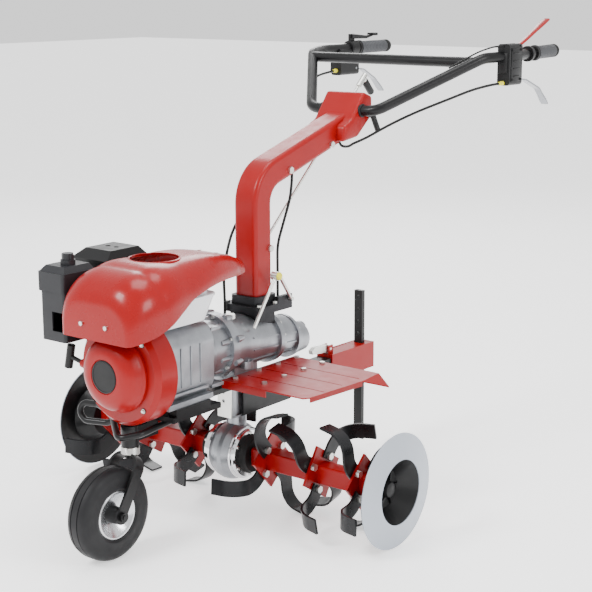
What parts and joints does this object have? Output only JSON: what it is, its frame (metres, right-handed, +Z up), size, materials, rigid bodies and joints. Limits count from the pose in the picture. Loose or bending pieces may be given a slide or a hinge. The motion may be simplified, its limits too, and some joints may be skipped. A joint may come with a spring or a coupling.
{
  "type": "walk-behind tiller",
  "caption": "walk-behind petrol tiller with bent rotor blades, side discs, fenders, transport wheel, drag stake and looped handlebar",
  "frame": {"origin": "centre of the bottom of the overall box, on the ground", "axes": "+X is the left side of the machine, -Y is forwards, +Z is up"},
  "size_m": [0.924, 1.4984, 1.0918],
  "materials": {
    "rotor_axle": "machined",
    "axle_gear": "machined",
    "leg_shaft": "machined",
    "input_shaft": "machined",
    "crankshaft": "machined",
    "tine_tubes": "gloss",
    "inner_tines": "satin",
    "middle_tines": "satin",
    "outer_tines": "satin",
    "tine_bolts": "zinc plated",
    "frame_bolts": "zinc plated",
    "guard_plates": "gloss",
    "guard_dishes": "satin",
    "crankcase": "cast",
    "crankcase_cover": "cast",
    "bell_housing": "cast",
    "gearbox_case": "cast",
    "fan_cover": "gloss",
    "recoil_cover": "gloss",
    "hood": "gloss",
    "fuel_tank": "satin",
    "air_cleaner_base": "moulded",
    "air_cleaner_cover": "moulded",
    "muffler": "heat resistant",
    "muffler_guard": "satin",
    "flywheel": "machined",
    "piston": "machined",
    "fuel_cap": "moulded",
    "air_cleaner_knob": "moulded",
    "starter_grip": "moulded",
    "drive_leg": "cast",
    "leg_plate": "plate",
    "rotor_gearcase": "painted",
    "gearcase_rings": "polished",
    "rubber_seals": "matte",
    "front_frame": "satin",
    "hitch_plate": "satin",
    "hitch_bracket": "gloss",
    "drag_stake": "satin",
    "hitch_lever": "zinc plated",
    "fenders": "gloss",
    "bumper": "satin",
    "wheel_fork": "satin",
    "wheel_tyre": "rubber",
    "wheel_rim": "moulded",
    "column": "gloss",
    "column_head": "gloss",
    "column_base": "painted",
    "handlebar": "satin",
    "hand_grips": "soft",
    "control_brackets": "moulded",
    "clutch_lever_left": "moulded",
    "clutch_lever_right": "moulded",
    "throttle_lever": "moulded",
    "stop_lever": "moulded",
    "clutch_cables": "sheathed",
    "column_cables": "sheathed",
    "selector_rod": "zinc plated",
    "shift_lever": "zinc plated",
    "height_knob": "moulded"
  },
  "bodies": {
    "chassis": {"frame_bolts": "frame_bolts", "crankcase": "crankcase", "crankcase_cover": "crankcase_cover", "bell_housing": "bell_housing", "gearbox_case": "gearbox_case", "fan_cover": "fan_cover", "recoil_cover": "recoil_cover", "hood": "hood", "fuel_tank": "fuel_tank", "air_cleaner_base": "air_cleaner_base", "air_cleaner_cover": "air_cleaner_cover", "muffler": "muffler", "muffler_guard": "muffler_guard", "drive_leg": "drive_leg", "leg_plate": "leg_plate", "rotor_gearcase": "rotor_gearcase", "gearcase_rings": "gearcase_rings", "rubber_seals": "rubber_seals", "front_frame": "front_frame", "hitch_plate": "hitch_plate", "hitch_bracket": "hitch_bracket", "fenders": "fenders", "bumper": "bumper", "column": "column", "column_head": "column_head", "column_base": "column_base", "column_cables": "column_cables"},
    "rotor": {"rotor_axle": "rotor_axle", "axle_gear": "axle_gear", "tine_tubes": "tine_tubes", "inner_tines": "inner_tines", "middle_tines": "middle_tines", "outer_tines": "outer_tines", "tine_bolts": "tine_bolts", "guard_plates": "guard_plates", "guard_dishes": "guard_dishes"},
    "leg_drive": {"leg_shaft": "leg_shaft"},
    "input_drive": {"input_shaft": "input_shaft"},
    "crank": {"crankshaft": "crankshaft", "flywheel": "flywheel"},
    "piston_body": {"piston": "piston"},
    "tank_cap": {"fuel_cap": "fuel_cap"},
    "cleaner_nut": {"air_cleaner_knob": "air_cleaner_knob"},
    "pull_grip": {"starter_grip": "starter_grip"},
    "fork": {"wheel_fork": "wheel_fork"},
    "front_wheel": {"wheel_tyre": "wheel_tyre", "wheel_rim": "wheel_rim"},
    "bar": {"handlebar": "handlebar", "hand_grips": "hand_grips", "control_brackets": "control_brackets", "clutch_cables": "clutch_cables"},
    "clutch_left": {"clutch_lever_left": "clutch_lever_left"},
    "clutch_right": {"clutch_lever_right": "clutch_lever_right"},
    "stop": {"stop_lever": "stop_lever"},
    "throttle": {"throttle_lever": "throttle_lever"},
    "head_knob": {"height_knob": "height_knob"},
    "selector": {"selector_rod": "selector_rod"},
    "shifter": {"shift_lever": "shift_lever"},
    "stake": {"drag_stake": "drag_stake"},
    "hitch_cam": {"hitch_lever": "hitch_lever"}
  },
  "joints": [
    {"name": "rotor_turn", "type": "hinge", "parent": "chassis", "child": "rotor", "pos_m": [0, -0.24318, 0.13], "axis": [1, 0, 0], "continuous": true},
    {"name": "leg_shaft_turn", "type": "hinge", "parent": "chassis", "child": "leg_drive", "pos_m": [0, -0.23518, 0.25], "axis": [0, 0, 1], "continuous": true},
    {"name": "input_shaft_turn", "type": "hinge", "parent": "chassis", "child": "input_drive", "pos_m": [0, -0.14318, 0.395], "axis": [0, 1, 0], "continuous": true},
    {"name": "crank_turn", "type": "hinge", "parent": "chassis", "child": "crank", "pos_m": [0, -0.48318, 0.395], "axis": [0, 1, 0], "continuous": true},
    {"name": "piston_stroke", "type": "slide", "parent": "chassis", "child": "piston_body", "axis": [-0.9063, 0, 0.4226], "range_m": [-0.0175, 0.0175]},
    {"name": "fuel_cap_turn", "type": "hinge", "parent": "chassis", "child": "tank_cap", "pos_m": [0, -0.49318, 0.58], "axis": [0, 0, 1], "range_deg": [-90, 0]},
    {"name": "air_cleaner_nut_turn", "type": "hinge", "parent": "chassis", "child": "cleaner_nut", "pos_m": [-0.156, -0.59318, 0.61], "axis": [0, 0, 1], "continuous": true},
    {"name": "starter_pull", "type": "slide", "parent": "chassis", "child": "pull_grip", "axis": [-0.9763, 0, 0.2164], "range_m": [0, 0.05], "stiffness_N_per_m": 60, "springref_m": -0.02},
    {"name": "wheel_height", "type": "slide", "parent": "chassis", "child": "fork", "axis": [0, 0, 1], "range_m": [-0.03, 0]},
    {"name": "front_wheel_turn", "type": "hinge", "parent": "fork", "child": "front_wheel", "pos_m": [0, -0.64918, 0.1], "axis": [1, 0, 0], "continuous": true},
    {"name": "handlebar_tilt", "type": "hinge", "parent": "chassis", "child": "bar", "pos_m": [0, 0.17382, 0.882], "axis": [1, 0, 0], "range_deg": [-15, 15]},
    {"name": "left_clutch", "type": "hinge", "parent": "bar", "child": "clutch_left", "pos_m": [0.2797, 0.49482, 0.95], "axis": [1, 0, 0], "range_deg": [0, 18], "stiffness_Nm_per_rad": 1, "springref_deg": -17.19},
    {"name": "right_clutch", "type": "hinge", "parent": "bar", "child": "clutch_right", "pos_m": [-0.2756, 0.59282, 0.952], "axis": [1, 0, 0], "range_deg": [0, 18], "stiffness_Nm_per_rad": 1, "springref_deg": -17.19},
    {"name": "stop_trigger", "type": "hinge", "parent": "bar", "child": "stop", "pos_m": [0.2797, 0.49782, 1.03], "axis": [1, 0, 0], "range_deg": [-17, 0], "stiffness_Nm_per_rad": 1, "springref_deg": 17.19},
    {"name": "throttle", "type": "hinge", "parent": "bar", "child": "throttle", "pos_m": [-0.2756, 0.59282, 1.036], "axis": [1, 0, 0], "range_deg": [0, 40]},
    {"name": "height_clamp", "type": "hinge", "parent": "chassis", "child": "head_knob", "pos_m": [0.06, 0.20382, 0.872], "axis": [1, 0, 0], "range_deg": [-25, 60]},
    {"name": "gear_selector", "type": "slide", "parent": "chassis", "child": "selector", "axis": [0, 0.74, 0.6726], "range_m": [-0.015, 0.015]},
    {"name": "shift_arm", "type": "hinge", "parent": "chassis", "child": "shifter", "pos_m": [0.055, -0.10718, 0.471], "axis": [1, 0, 0], "range_deg": [-12, 0]},
    {"name": "stake_height", "type": "slide", "parent": "chassis", "child": "stake", "axis": [0, 0, 1], "range_m": [-0.1, 0.08]},
    {"name": "hitch_cam_swing", "type": "hinge", "parent": "chassis", "child": "hitch_cam", "pos_m": [0, 0.11382, 0.297], "axis": [1, 0, 0], "range_deg": [-90, 0]}
  ],
  "couplings": [
    {"joint": "leg_shaft_turn", "follows": "rotor_turn", "ratio": 3},
    {"joint": "input_shaft_turn", "follows": "rotor_turn", "ratio": 7.5}
  ]
}
